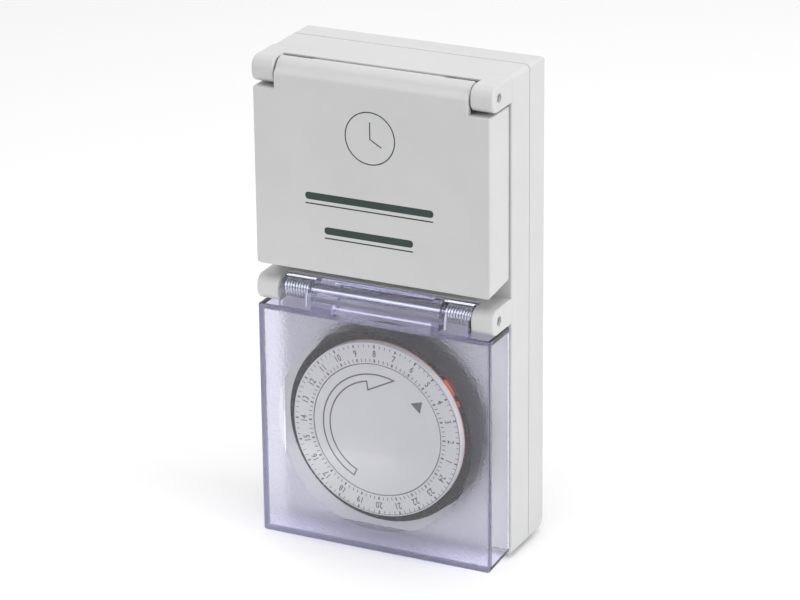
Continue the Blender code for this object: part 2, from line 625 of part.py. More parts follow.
def gear_outline(cx, cz, teeth, module, phase_deg):
    """Slim straight-sided teeth; phase is the angle of one tooth's middle."""
    tip, root = module * (teeth / 2 + 0.8), module * (teeth / 2 - 1.15)
    points = []
    for i in range(teeth):
        middle = math.radians(phase_deg + 360 * i / teeth)
        pitch = 2 * math.pi / teeth
        for radius, offset in ((root, -0.27), (tip, -0.1), (tip, 0.1), (root, 0.27)):
            angle = middle + offset * pitch
            points.append((cx + radius * math.cos(angle), cz + radius * math.sin(angle)))
    return points


TO_IDLER = math.degrees(math.atan2(IDLER_Z - DIAL_Z, IDLER_X))


def make_dial_gear():
    plate("dial_gear", [gear_outline(0, DIAL_Z, DIAL_TEETH, COARSE_MODULE, TO_IDLER), circle(0, DIAL_Z, 2.75 * MM, 24)],
          -19.5 * MM, -17.4 * MM, "Y", NATURAL)


def make_idler():
    """Compound idler: the small pinion drives the dial gear, the wheel takes the motor pinion."""
    back = TO_IDLER + 180 + 180 / PINION_TEETH
    gear = plate("idler_gear", [gear_outline(IDLER_X, IDLER_Z, PINION_TEETH, COARSE_MODULE, back),
                                circle(IDLER_X, IDLER_Z, 1.3 * MM, 16)], -19.3 * MM, -16 * MM, "Y", NATURAL)
    join(gear, plate("idler_wheel", [gear_outline(IDLER_X, IDLER_Z, IDLER_TEETH, FINE_MODULE, 0),
                                     circle(IDLER_X, IDLER_Z, 1.3 * MM, 16)], -16.6 * MM, -15 * MM, "Y"))
    cylinder("idler_shaft", 1.1 * MM, (IDLER_X, -13.4 * MM, IDLER_Z), (IDLER_X, -19.5 * MM, IDLER_Z), "Y", STEEL, sides=16)


def make_motor():
    """Flat synchronous motor behind the plate, and its output pinion in front of it."""
    body = cylinder("motor_body", 17.5 * MM, (-4 * MM, -12.6 * MM, -30 * MM), (-4 * MM, -4 * MM, -30 * MM), "Y", STEEL, sides=48)
    cut(body, cylinder("motor_eye", 1.6 * MM, (MOTOR_X, -14 * MM, IDLER_Z), (MOTOR_X, -9 * MM, IDLER_Z), "Y", sides=16))
    join(body, box("motor_coil_box", (8 * MM, -11.5 * MM, -37 * MM), (20 * MM, -5 * MM, -23 * MM)))
    pinion = plate("motor_pinion", [gear_outline(MOTOR_X, IDLER_Z, MOTOR_TEETH, FINE_MODULE, 180 + 180 / MOTOR_TEETH)],
                   -16.8 * MM, -14.8 * MM, "Y", NATURAL)
    join(pinion, cylinder("motor_shaft", 1.1 * MM, (MOTOR_X, -9.6 * MM, IDLER_Z), (MOTOR_X, -16 * MM, IDLER_Z), "Y", sides=16))


def make_mechanism_plate():
    """Base plate screwed to the front shell; it carries the post, the idler shaft and the motor."""
    outline = rounded(-35 * MM, 35 * MM, -58 * MM, -2.5 * MM, 3 * MM)
    holes = [circle(0, DIAL_Z, POST_RADIUS + 0.15 * MM, 24), circle(IDLER_X, IDLER_Z, 1.25 * MM, 16),
             circle(MOTOR_X, IDLER_Z, 3.5 * MM, 20)]
    holes += [circle(x, z, 1.2 * MM, 12) for x, z in PLATE_SCREWS]
    plate("mechanism_plate", [outline, *holes], -PLATE_FRONT, -PLATE_BACK, "Y", DARK_SHELL)


# --- Switch --------------------------------------------------------------------------------

LEVER_X = -8 * MM
LEVER_Z = -0.6 * MM


def make_switch():
    """Microswitch above the dial, with its two blades and the lever that rides on the segments."""
    low, high = (-10 * MM, -20 * MM, 0.6 * MM), (10 * MM, -14 * MM, 10.6 * MM)
    box("switch_body", low, high, DARK_SHELL, bevel=0.5 * MM, segments=2)
    lever = [(LEVER_X - 1.2 * MM, LEVER_Z + 0.4 * MM), (LEVER_X - 1.2 * MM, LEVER_Z - 0.4 * MM), (4 * MM, LEVER_Z - 0.9 * MM),
             (8 * MM, LEVER_Z - 4.4 * MM), (9 * MM, LEVER_Z - 3.9 * MM), (4.6 * MM, LEVER_Z + 0.1 * MM)]
    plate("switch_lever", [lever], -20 * MM, -17 * MM, "Y", STEEL)
    for name, x in (("common_blade", -6 * MM), ("switched_blade", 6 * MM)):
        box(name, (x - 0.4 * MM, -18.4 * MM, 10.9 * MM), (x + 0.4 * MM, -13.6 * MM, 15.5 * MM), BRASS)


def make_links():
    """Brass straps from the live pin to the switch and from the switch to the live sleeve."""
    box("live_link", (-6 * MM - 2 * MM, -13.3 * MM, 11.2 * MM), (-6 * MM + 2 * MM, -5.6 * MM, 12 * MM), BRASS)
    box("switched_link", (6 * MM - 2 * MM, -13.3 * MM, 12.2 * MM), (6 * MM + 5 * MM, -5.6 * MM, 13 * MM), BRASS)


make_rear_housing()
make_front_housing()
make_housing_seal()
for number, (screw_x, screw_z) in enumerate(CASE_SCREWS, 1):
    make_screw(f"case_screw_{number}", screw_x, screw_z, -3.7 * MM, 3 * MM, 1.4 * MM, 13 * MM)
make_plug_body()
make_plug_strips()
make_plug_pins()
make_plug_seal()
make_socket_insert()
make_earth_clip()
make_contacts()
make_socket_gasket()
make_lid("socket_flap", FLAP_AXIS_Z, FLAP_BOTTOM, GREY_SHELL)
make_lid("dial_cover", COVER_AXIS_Z, COVER_BOTTOM, CLEAR, COVER_THROAT)
make_hinge_pin("flap_hinge_pin", FLAP_AXIS_Z)
make_hinge_pin("cover_hinge_pin", COVER_AXIS_Z)
for lid_name, lid_axis in (("flap", FLAP_AXIS_Z), ("cover", COVER_AXIS_Z)):
    make_spring(f"{lid_name}_spring_left", lid_axis, -1)
    make_spring(f"{lid_name}_spring_right", lid_axis, 1)
make_number_dial()
make_centre_disc()
make_dial_post()
make_dial_carrier()
make_tripper_ring()
make_loose_segments()
make_dial_gear()
make_idler()
make_motor()
make_mechanism_plate()
for number, (screw_x, screw_z) in enumerate(PLATE_SCREWS, 1):
    make_screw(f"plate_screw_{number}", screw_x, screw_z, -12.8 * MM, 2 * MM, 0.9 * MM, 6 * MM)
make_switch()
make_links()
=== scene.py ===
"""Plug-in segment timer for one outdoor socket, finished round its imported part."""

import math

import bmesh
import bpy
from mathutils import Matrix, Vector


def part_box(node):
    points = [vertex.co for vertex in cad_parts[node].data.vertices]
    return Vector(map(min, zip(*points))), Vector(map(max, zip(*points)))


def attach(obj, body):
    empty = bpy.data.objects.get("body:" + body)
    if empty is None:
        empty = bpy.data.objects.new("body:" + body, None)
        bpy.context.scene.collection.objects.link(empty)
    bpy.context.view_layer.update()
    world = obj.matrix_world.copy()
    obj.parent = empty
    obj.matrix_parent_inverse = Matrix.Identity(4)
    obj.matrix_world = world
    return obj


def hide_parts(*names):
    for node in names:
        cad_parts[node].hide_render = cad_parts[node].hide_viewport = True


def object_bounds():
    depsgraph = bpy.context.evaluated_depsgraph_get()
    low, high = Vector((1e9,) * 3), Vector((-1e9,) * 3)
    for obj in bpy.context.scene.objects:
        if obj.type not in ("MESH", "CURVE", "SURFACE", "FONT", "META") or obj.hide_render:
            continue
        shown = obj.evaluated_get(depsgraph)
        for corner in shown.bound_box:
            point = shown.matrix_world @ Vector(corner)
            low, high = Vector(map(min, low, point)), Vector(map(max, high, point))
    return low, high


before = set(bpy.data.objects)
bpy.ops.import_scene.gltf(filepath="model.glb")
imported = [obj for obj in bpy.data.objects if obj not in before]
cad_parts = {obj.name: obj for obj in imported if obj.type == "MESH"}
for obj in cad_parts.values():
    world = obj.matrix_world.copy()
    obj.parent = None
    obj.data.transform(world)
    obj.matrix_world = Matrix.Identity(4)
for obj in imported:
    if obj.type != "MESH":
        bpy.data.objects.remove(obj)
cad_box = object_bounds()
mm = 0.001


# --- Front shell -------------------------------------------------------------------------------
# One ABS moulding, light warm grey with a fine spark-eroded grain. It carries the four hinge ears
# and the two ledges over the lid barrels. Four screws from the back hold it to the rear shell.

def bow(cx, cy, radius, start, end, count):
    """Points along an arc, in degrees, both ends included."""
    turns = [math.radians(start + (end - start) * i / (count - 1)) for i in range(count)]
    return [(cx + radius * math.cos(t), cy + radius * math.sin(t)) for t in turns]


def ring(cx, cy, radius, count=96):
    return bow(cx, cy, radius, 0, 360 - 360 / count, count)


def soft_rectangle(x0, x1, y0, y1, radius):
    return (
        bow(x1 - radius, y1 - radius, radius, 0, 90, 8) + bow(x0 + radius, y1 - radius, radius, 90, 180, 8)
        + bow(x0 + radius, y0 + radius, radius, 180, 270, 8) + bow(x1 - radius, y0 + radius, radius, 270,
                                                                   360, 8)
    )


def new_piece(name, shape):
    """A mesh object from a bmesh, with its faces turned outwards."""
    bmesh.ops.recalc_face_normals(shape, faces=shape.faces)
    mesh = bpy.data.meshes.new(name)
    shape.to_mesh(mesh)
    shape.free()
    piece = bpy.data.objects.new(name, mesh)
    bpy.context.scene.collection.objects.link(piece)
    return piece


def slab(name, outlines, low, high, axis):
    """An outline in millimetres, with any holes, extruded along X or Y between two positions."""
    curve = bpy.data.curves.new(name, "CURVE")
    curve.dimensions, curve.fill_mode = "2D", "BOTH"
    curve.extrude = (high - low) / 2 * mm
    for outline in outlines:
        spline = curve.splines.new("POLY")
        spline.points.add(len(outline) - 1)
        for point, (u, v) in zip(spline.points, outline):
            point.co = (u * mm, v * mm, 0, 1)
        spline.use_cyclic_u = True
    flat = bpy.data.objects.new(name, curve)
    bpy.context.scene.collection.objects.link(flat)
    bpy.context.view_layer.update()
    mesh = bpy.data.meshes.new_from_object(flat.evaluated_get(bpy.context.evaluated_depsgraph_get()))
    bpy.data.objects.remove(flat, do_unlink=True)
    shape = bmesh.new()
    shape.from_mesh(mesh)
    bpy.data.meshes.remove(mesh)
    bmesh.ops.remove_doubles(shape, verts=shape.verts, dist=1e-7)
    middle = (low + high) / 2 * mm
    rows = {
        "X": ((0, 0, 1, middle), (1, 0, 0, 0), (0, 1, 0, 0), (0, 0, 0, 1)),
        "Y": ((1, 0, 0, 0), (0, 0, -1, middle), (0, 1, 0, 0), (0, 0, 0, 1)),
    }[axis]
    bmesh.ops.transform(shape, matrix=Matrix(rows), verts=shape.verts)
    return new_piece(name, shape)


def block(name, x0, x1, y0, y1, z0, z1):
    return slab(name, [[(x0, z0), (x1, z0), (x1, z1), (x0, z1)]], y0, y1, "Y")


def drill(name, x, z, radius, y0, y1):
    return slab(name, [ring(x, z, radius, 64)], y0, y1, "Y")


def carve(piece, tool, how="DIFFERENCE"):
    """Cuts, joins or keeps with a tool piece, which is used up."""
    step = piece.modifiers.new("carve", "BOOLEAN")
    step.operation, step.solver, step.object = how, "EXACT", tool
    bpy.context.view_layer.update()
    mesh = bpy.data.meshes.new_from_object(piece.evaluated_get(bpy.context.evaluated_depsgraph_get()))
    piece.modifiers.clear()
    piece.data = mesh
    bpy.data.objects.remove(tool, do_unlink=True)
    return piece


def soften(piece, width, share=None, steps=3):
    """Rounds every sharp edge; share(middle of the edge in mm) scales the round there."""
    shape = bmesh.new()
    shape.from_mesh(piece.data)
    bmesh.ops.remove_doubles(shape, verts=shape.verts, dist=2e-6)
    bmesh.ops.dissolve_limit(shape, angle_limit=math.radians(0.4), verts=shape.verts, edges=shape.edges)
    weight = shape.edges.layers.float.new("bevel_weight_edge")
    for edge in shape.edges:
        if edge.is_manifold and edge.calc_face_angle() > math.radians(28):
            middle = (edge.verts[0].co + edge.verts[1].co) / 2 / mm
            edge[weight] = share(middle) if share else 1.0
    shape.to_mesh(piece.data)
    shape.free()
    step = piece.modifiers.new("soften", "BEVEL")
    step.limit_method, step.width, step.segments = "WEIGHT", width * mm, steps
    step.use_clamp_overlap, step.miter_outer = False, "MITER_SHARP"
    bpy.context.view_layer.update()
    mesh = bpy.data.meshes.new_from_object(piece.evaluated_get(bpy.context.evaluated_depsgraph_get()))
    piece.modifiers.clear()
    piece.data = mesh
    return piece


def smooth(piece, angle=32):
    piece.data.shade_smooth()
    piece.data.set_sharp_from_angle(angle=math.radians(angle))
    even = piece.modifiers.new("even_shading", "WEIGHTED_NORMAL")
    even.keep_sharp, even.weight = True, 80
    return piece


def fit(piece, body, slot, finish, *nodes):
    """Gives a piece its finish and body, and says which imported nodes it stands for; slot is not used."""
    piece.data.materials.clear()
    piece.data.materials.append(finish)
    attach(piece, body)
    if nodes:
        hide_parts(*nodes)
    return piece


def effect_group(name, inputs, outputs):
    """An empty shader group; each input is (name, kind, value) and each output (name, kind)."""
    group = bpy.data.node_groups.new(name, "ShaderNodeTree")
    for label, kind, value in inputs:
        group.interface.new_socket(label, in_out="INPUT", socket_type=kind).default_value = value
    for label, kind in outputs:
        group.interface.new_socket(label, in_out="OUTPUT", socket_type=kind)
    return group, group.nodes.new("NodeGroupInput"), group.nodes.new("NodeGroupOutput")


def wire(tree, *pairs):
    for source, target in pairs:
        tree.links.new(source, target)


COLOUR, VALUE, NORMAL = "NodeSocketColor", "NodeSocketFloat", "NodeSocketVector"

# The grain of a moulded face: two sizes of noise for the bump, and a slow drift of tone and gloss.
grain, grain_in, grain_out = effect_group(
    "moulded_grain",
    [("Colour", COLOUR, (0.6, 0.6, 0.6, 1)), ("Roughness", VALUE, 0.4), ("Grains per metre", VALUE, 2600.0),
     ("Depth", VALUE, 0.3), ("Drift", VALUE, 0.04)],
    [("Colour", COLOUR), ("Roughness", VALUE), ("Normal", NORMAL)],
)
place = grain.nodes.new("ShaderNodeTexCoord")
fine = grain.nodes.new("ShaderNodeTexNoise")
fine.inputs["Detail"].default_value = 3.0
slow = grain.nodes.new("ShaderNodeTexNoise")
slow.inputs["Scale"].default_value = 60.0
slow.inputs["Detail"].default_value = 2.0
bump = grain.nodes.new("ShaderNodeBump")
bump.inputs["Distance"].default_value = 0.00006
tone = grain.nodes.new("ShaderNodeMapRange")
tone.inputs["From Min"].default_value, tone.inputs["From Max"].default_value = 0.3, 0.7
low_tone = grain.nodes.new("ShaderNodeMath")
low_tone.operation, low_tone.inputs[0].default_value = "SUBTRACT", 1.0
tint = grain.nodes.new("ShaderNodeVectorMath")
tint.operation = "SCALE"
gloss = grain.nodes.new("ShaderNodeMath")
gloss.operation = "MULTIPLY"
tone.inputs["To Max"].default_value = 1.0
wire(
    grain, (place.outputs["Object"], fine.inputs["Vector"]), (place.outputs["Object"], slow.inputs["Vector"]),
    (grain_in.outputs["Grains per metre"], fine.inputs["Scale"]),
    (fine.outputs["Fac"], bump.inputs["Height"]),
    (grain_in.outputs["Depth"], bump.inputs["Strength"]), (slow.outputs["Fac"], tone.inputs["Value"]),
    (grain_in.outputs["Drift"], low_tone.inputs[1]), (low_tone.outputs[0], tone.inputs["To Min"]),
    (grain_in.outputs["Colour"], tint.inputs[0]), (tone.outputs[0], tint.inputs["Scale"]),
    (grain_in.outputs["Roughness"], gloss.inputs[0]), (tone.outputs[0], gloss.inputs[1]),
    (tint.outputs[0], grain_out.inputs["Colour"]), (gloss.outputs[0], grain_out.inputs["Roughness"]),
    (bump.outputs[0], grain_out.inputs["Normal"]),
)


def moulded(name, colour, roughness, grains=2600.0, depth=0.3, drift=0.04, metallic=0.0, coat=0.0):
    """A finish whose colour, gloss and bump come from the moulded grain."""
    made = bpy.data.materials.new(name)
    made.use_nodes = True
    shader = made.node_tree.nodes["Principled BSDF"]
    shader.inputs["Metallic"].default_value = metallic
    shader.inputs["Coat Weight"].default_value = coat
    face = made.node_tree.nodes.new("ShaderNodeGroup")
    face.node_tree = grain
    face.inputs["Colour"].default_value = (*colour, 1)
    face.inputs["Roughness"].default_value = roughness
    face.inputs["Grains per metre"].default_value = grains
    face.inputs["Depth"].default_value = depth
    face.inputs["Drift"].default_value = drift
    wire(
        made.node_tree, (face.outputs["Colour"], shader.inputs["Base Color"]),
        (face.outputs["Roughness"], shader.inputs["Roughness"]),
        (face.outputs["Normal"], shader.inputs["Normal"]),
    )
    return made


shell_grey = moulded("shell_grey", (0.54, 0.546, 0.54), 0.42, grains=2400.0, depth=0.22)

half_w, half_h, face_y, seam_y = 38.0, 74.0, -23.5, -11.3
hinge_y, flap_axis, cover_axis = -32.0, 70.15, 3.4
socket_z, dial_z = 37.5, -36.0
case_screws = [(sx * 28.5, z) for z in (-64.5, 64.5) for sx in (-1, 1)]
plate_screws = [(sx * x, z) for x, z in ((28.5, -6.2), (32, -52)) for sx in (-1, 1)]


def ear_side(axis):
    nose, low, high, soft = hinge_y - 4.5, axis - 4, axis + 3.8, 3.3
    return (
        [(-22.9, low)] + bow(nose + soft, low + soft, soft, 270, 180, 12)
        + bow(nose + soft, high - soft, soft, 180, 90, 12) + [(-22.9, high)]
    )


def ledge_side(axis):
    hollow = bow(hinge_y, axis, 4.2, 0, 50, 10)
    return [(-22.9, axis), *hollow, (hollow[-1][0], axis + 3.8), (-22.9, axis + 3.8)]


front = slab("front_shell", [soft_rectangle(-half_w, half_w, -half_h, half_h, 1.5)], face_y, seam_y, "Y")
soften(front, 0.5, lambda at: 0.35 if at.y > -12 else 1.0)
for axis in (flap_axis, cover_axis):
    for sign in (-1, 1):
        x0, x1 = sorted((sign * 31.0, sign * (half_w - 0.04)))
        carve(front, soften(slab("ear", [ear_side(axis)], x0, x1, "X"), 0.5), "UNION")
    carve(front, soften(slab("ledge", [ledge_side(axis)], -32, 32, "X"), 0.2), "UNION")
carve(front, slab("hollow", [soft_rectangle(-35.8, 35.8, -71.8, 71.8, 1.5)], -21.3, 0, "Y"))
for x, z in case_screws:
    carve(front, drill("boss", x, z, 4.0, -22, -9), "UNION")
for x, z in plate_screws:
    carve(front, drill("post", x, z, 2.5, -22, -14.6), "UNION")
    carve(front, drill("post_hole", x, z, 1.2, -20, 0))
for x, z in case_screws:
    carve(front, drill("screw_hole", x, z, 1.7, -18.5, 0))
carve(front, slab("socket_hole", [ring(0, socket_z, 21.5, 128)], -40, 0, "Y"))
carve(front, slab("dial_hole", [ring(0, dial_z, 30.9, 160)], -40, 0, "Y"))
for axis in (flap_axis, cover_axis):
    carve(front, slab("pin_hole", [ring(hinge_y, axis, 1.45, 40)], -40, 40, "X"))
fit(smooth(front), "housing", "grey_shell", shell_grey, "front_housing")


# --- Rear shell --------------------------------------------------------------------------------
# The shallow back half, the same grey ABS, with a large round along its bottom back edge so the
# timer stands off a wall socket. Four sunk bosses take the case screws.

rear = slab("rear_shell", [soft_rectangle(-half_w, half_w, -half_h, half_h, 1.5)], -11, 0, "Y")
soften(rear, 1.2, lambda at: 0.15 if at.y < -10 else 1.0)
for edge, radius in ((half_h, 3.5), (-half_h, 6.0)):
    side = 1 if edge > 0 else -1
    arc = bow(-radius, radius, radius, 3, -93, 18)
    outline = [(2, arc[0][1] + 1), *arc, (arc[-1][0] - 1, -2), (2, -2)]
    carve(rear, slab("edge_round", [[(y, edge - side * z) for y, z in outline]], -half_w - 1, half_w + 1,
                     "X"))
carve(rear, slab("hollow", [soft_rectangle(-35.8, 35.8, -71.8, 71.8, 1.5)], -30, -3, "Y"))
for x, z in case_screws:
    carve(rear, drill("boss", x, z, 4.5, -8.7, -1.5), "UNION")
for x, z in case_screws:
    carve(rear, drill("hole", x, z, 1.7, -12, 2))
    carve(rear, drill("sink", x, z, 3.4, -4, 2))
carve(rear, drill("plug_hole", 0, socket_z, 15, -20, 20))
fit(smooth(rear), "housing", "grey_shell", shell_grey, "rear_housing")


# --- Case screws -------------------------------------------------------------------------------
# Zinc-plated pan-head screws with a cross recess, driven from the back into the front bosses.
# The plating is bright, with faint rings from the heading die.

def lathed(name, profile, centre, steps=64, facing="front"):
    """A (radius, height) profile in millimetres turned about its axis; it closes itself off the axis."""
    shape = bmesh.new()
    points = [shape.verts.new((radius * mm, 0, height * mm)) for radius, height in profile]
    runs = [shape.edges.new(pair) for pair in zip(points, points[1:])]
    if all(radius > 0 for radius, _ in profile):
        runs.append(shape.edges.new((points[-1], points[0])))
    bmesh.ops.spin(shape, geom=points + runs, cent=(0, 0, 0), axis=(0, 0, 1), angle=2 * math.pi, steps=steps)
    bmesh.ops.remove_doubles(shape, verts=shape.verts, dist=1e-7)
    turn = {"front": Matrix.Rotation(math.radians(90), 4, "X"),
            "back": Matrix.Rotation(math.radians(-90), 4, "X"),
            "side": Matrix.Rotation(math.radians(90), 4, "Y")}[facing]
    bmesh.ops.transform(shape, matrix=Matrix.Translation(Vector(centre) * mm) @ turn, verts=shape.verts)
    return new_piece(name, shape)


zinc = moulded("zinc_plate", (0.76, 0.8, 0.84), 0.32, grains=900.0, depth=0.08, drift=0.12, metallic=1.0)

for number, (x, z) in enumerate(case_screws, 1):
    head = [(0, 2.0), (1.3, 1.95), (2.2, 1.7), (2.75, 1.2), (3, 0.6), (3, 0), (1.4, 0)]
    thread = [(1.4 - 0.25 * (i % 2), -0.8 - 0.45 * i) for i in range(24)]
    screw = lathed(f"case_screw_{number}", head + thread + [(0.4, -12.4), (0, -13)], (x, -3.7, z), 40, "back")
    for wide, tall in ((1.6, 0.35), (0.35, 1.6)):
        carve(screw, block("cross", x - wide, x + wide, -2.8, 0, z - tall, z + tall))
    fit(smooth(screw), "housing", "zinc_steel", zinc, f"case_screw_{number}")


# --- Plug --------------------------------------------------------------------------------------
# A two-pole earthed plug moulded in black, with nickel-plated pins, a sprung earth strip above
# and below, and a soft ring that seals against the wall outlet.

insert_black = moulded("insert_black", (0.028, 0.028, 0.03), 0.45, grains=1800.0, depth=0.35, drift=0.1)
nickel = moulded("nickel_plate", (0.72, 0.69, 0.63), 0.2, grains=700.0, depth=0.05, drift=0.1, metallic=1.0)
seal_rubber = moulded("seal_rubber", (0.022, 0.022, 0.022), 0.7, grains=1500.0, depth=0.5, drift=0.15)

plug = lathed("plug_body", [(0, 19), (17.2, 19), (17.9, 18.8), (18.4, 18.4), (18.7, 17.7), (18.7, 0.3),
                            (14.7, 0.3),
                            (14.7, -2.5), (0, -2.5)], (0, 0, socket_z), 128, "back")
for sign in (-1, 1):
    carve(plug, drill("pin_bore", sign * 9.5, socket_z, 2.6, -5, 25))
    carve(plug, drill("sleeve_bore", sign * 9.5, socket_z, 3.7, -5, 3.8))
    x0, x1 = sorted((sign * 16.9, sign * 22))
    carve(plug, block("guide_groove", x0, x1, 2.5, 30, socket_z - 2.2, socket_z + 2.2))
    z0, z1 = sorted((socket_z + sign * 17.3, socket_z + sign * 25))
    carve(plug, block("strip_flat", -3.6, 3.6, 1.2, 30, z0, z1))
carve(plug, drill("earth_socket", 0, socket_z + 10, 2.6, 4, 30))
for row in (-3, -2, -1, 1, 2, 3):
    rib_z = socket_z + row * 4.2
    for sign in (-1, 1):
        at = sign * 18.7 * math.cos(math.radians(12 + 4 * abs(row)))
        x0, x1 = sorted((at - sign * 0.3, at + sign * 4))
        carve(plug, block("grip_line", x0, x1, 5, 15, rib_z - 0.4, rib_z + 0.4))
fit(smooth(plug), "housing", "dark_insert", insert_black, "plug_body")

for sign, end in ((-1, "lower"), (1, "upper")):
    outer = [(1.6, 18.2), (3, 18.5), (5, 18.9), (8.5, 19.0), (12, 18.9), (15, 18.6), (18.2, 18.2)]
    inner = [(y, z - 0.6) for y, z in reversed(outer)]
    strip = slab(f"plug_earth_strip_{end}", [[(y, socket_z + sign * z) for y, z in outer + inner]], -3, 3,
                 "X")
    fit(smooth(soften(strip, 0.15)), "housing", "pin_nickel", nickel, f"plug_earth_strip_{end}")

for name, sign in (("live_pin", 1), ("neutral_pin", -1)):
    nose = [(2.4 - 1.2 * (1 - math.cos(t)), 36.8 + 1.2 * math.sin(t))
            for t in [math.radians(a) for a in range(0, 91, 15)]]
    pin = lathed(name, [(0, 38), *reversed(nose), (2.4, 21), (2.3, 20.8), (2.3, 20.2), (2.4, 20),
                        (2.4, 4.6), (0, 4.6)],
                 (sign * 9.5, 0, socket_z), 48, "back")
    fit(smooth(pin), "housing", "pin_nickel", nickel, name)

lip = [(19.1, 0.3), (21.6, 0.3), (21.6, 1.2), (21.2, 1.5), (21.5, 2.1), (21.0, 2.6), (20.5, 2.2),
       (19.6, 2.2), (19.1, 1.8)]
seal = lathed("plug_seal", lip, (0, 0, socket_z), 96, "back")
fit(smooth(seal), "housing", "seal_rubber", seal_rubber, "plug_seal")


# --- Socket ------------------------------------------------------------------------------------
# The round well under the flap, moulded in the shell's grey, with a rubber ring at its root. Brass
# sleeves behind its two holes and one bent brass strap make the contacts.

brass = moulded("contact_brass", (0.72, 0.5, 0.2), 0.3, grains=900.0, depth=0.08, drift=0.15, metallic=1.0)

well = lathed("socket_well", [(0, 16), (19.2, 16), (19.8, 16.6), (19.8, 32.9), (20.2, 33.5), (20.9, 33.5),
                              (21.2, 33.2),
                              (21.2, 21), (23.6, 21), (23.6, 19.4), (21.2, 19.4), (21.2, 13.5), (0, 13.5)],
              (0, 0, socket_z), 128)
for sign in (-1, 1):
    x0, x1 = sorted((sign * 18, sign * 20.4))
    carve(well, block("guide_rib", x0, x1, -28, -15, socket_z - 2, socket_z + 2), "UNION")
for sign in (-1, 1):
    carve(well, drill("contact_hole", sign * 9.5, socket_z, 2.8, -30, 0))
    carve(well, drill("sleeve_room", sign * 9.5, socket_z, 3.6, -15, 0))
    z0, z1 = sorted((socket_z + sign * 17, socket_z + sign * 19.9))
    carve(well, block("earth_slot", -3.4, 3.4, -17, -10, z0, z1))
fit(smooth(well), "housing", "grey_shell", shell_grey, "socket_insert")

half_strap = [(-12.9, 18.5), (-26, 17.1), (-30.5, 18.5), (-30.5, 19.3), (-26, 17.9), (-13.7, 19.3),
              (-12.1, 19.3)]
strap = [(y, socket_z + z) for y, z in half_strap] + [(y, socket_z - z) for y, z in reversed(half_strap)]
clip = slab("earth_clip", [strap], -3, 3, "X")
fit(smooth(soften(clip, 0.12)), "housing", "contact_brass", brass, "earth_clip")

for name, sign in (("live_contact", 1), ("neutral_contact", -1)):
    flare = [(2.6, -3), (2.6, 12.6), (2.9, 13.2), (3.3, 13.2), (3.3, -3)]
    sleeve = lathed(name, flare, (sign * 9.5, 0, socket_z), 48)
    fit(smooth(sleeve), "housing", "contact_brass", brass, name)

gasket = lathed("socket_gasket", [(21.5, 23.8), (22.6, 23.8), (22.6, 24.6), (22.2, 25.5), (21.8, 25.5),
                                  (21.5, 25)],
                (0, 0, socket_z), 96)
fit(smooth(gasket), "housing", "seal_rubber", seal_rubber, "socket_gasket")


# --- Socket flap -------------------------------------------------------------------------------
# A deep opaque lid in the shell's grey. Its front wall rolls over into a barrel between the two
# ears, hollowed at both ends for the springs, and its bottom edge slopes back to shed water.

lid_front, rim_y, lid_wall, lid_side, leaf_side = -37.0, -23.8, 2.0, 37.4, 30.6


def lid_blank(name, axis, bottom, leg_room, edge_round, corner_share, side_wall):
    """One lid: the rounded box, its hollow, the hinge leaf, two spring pockets and the pin's bore."""
    top, (low_front, low_rear) = axis - 4.75, bottom
    lid = slab(name, [[(lid_front, top), (lid_front, low_front), (rim_y, low_rear), (rim_y, top)]],
               -lid_side, lid_side, "X")
    soften(lid, edge_round, lambda at: corner_share if -36 < at.y < -25 and at.z < top - 1 else 1.0)
    slope = (low_rear - low_front) / (rim_y - lid_front)
    past, floor = rim_y + 2, lid_front + lid_wall
    hollow = [(floor, top - lid_wall), (floor, low_front + side_wall + lid_wall * slope),
              (past, low_front + side_wall + slope * (past - lid_front)), (past, top - lid_wall)]
    carve(lid, slab("hollow", [hollow], side_wall - lid_side, lid_side - side_wall, "X"))
    roll = bow(lid_front + 1.9, axis - 0.8, 1.9, 180, 140, 6)
    barrel = bow(hinge_y, axis, 3.85, 156, -60, 36)
    leaf = [(barrel[-1][0], top - 1), (lid_front, top - 1), *roll, *barrel]
    carve(lid, soften(slab("leaf", [leaf], -leaf_side, leaf_side, "X"), edge_round * 0.8), "UNION")
    for sign in (-1, 1):
        x0, x1 = sorted((sign * 20.6, sign * (leaf_side + 1)))
        carve(lid, block("pocket", x0, x1, hinge_y - 3.1, 0, top - 0.1, axis))
        carve(lid, slab("coil_room", [ring(hinge_y, axis, 3.05, 48)], x0, x1, "X"))
        carve(lid, block("leg_room", x0, x1, hinge_y + leg_room, 0, axis - 1, axis + 9))
    return carve(lid, slab("bore", [ring(hinge_y, axis, 1.45, 40)], -32, 32, "X"))


flap = lid_blank("socket_flap", flap_axis, (11.3, 12.6), 0.3, 0.55, 2.2, 2.0)
carve(flap, slab("seal_rib", [ring(0, socket_z, 24.6, 96), ring(0, socket_z, 23.2, 96)], -35.6, -27.5, "Y"),
      "UNION")
fit(smooth(flap), "flap", "grey_shell", shell_grey, "socket_flap")

# The printing is a plain clock mark and four rules in dark green ink, a skin of ink 0.02 mm thick.
print_green = moulded("print_green", (0.012, 0.03, 0.027), 0.5, grains=3000.0, depth=0.1, drift=0.2)


def ink(name, outlines, face, thick=0.02):
    """Flat printed shapes on a face that looks to the front."""
    return slab(name, outlines, face - thick, face, "Y")


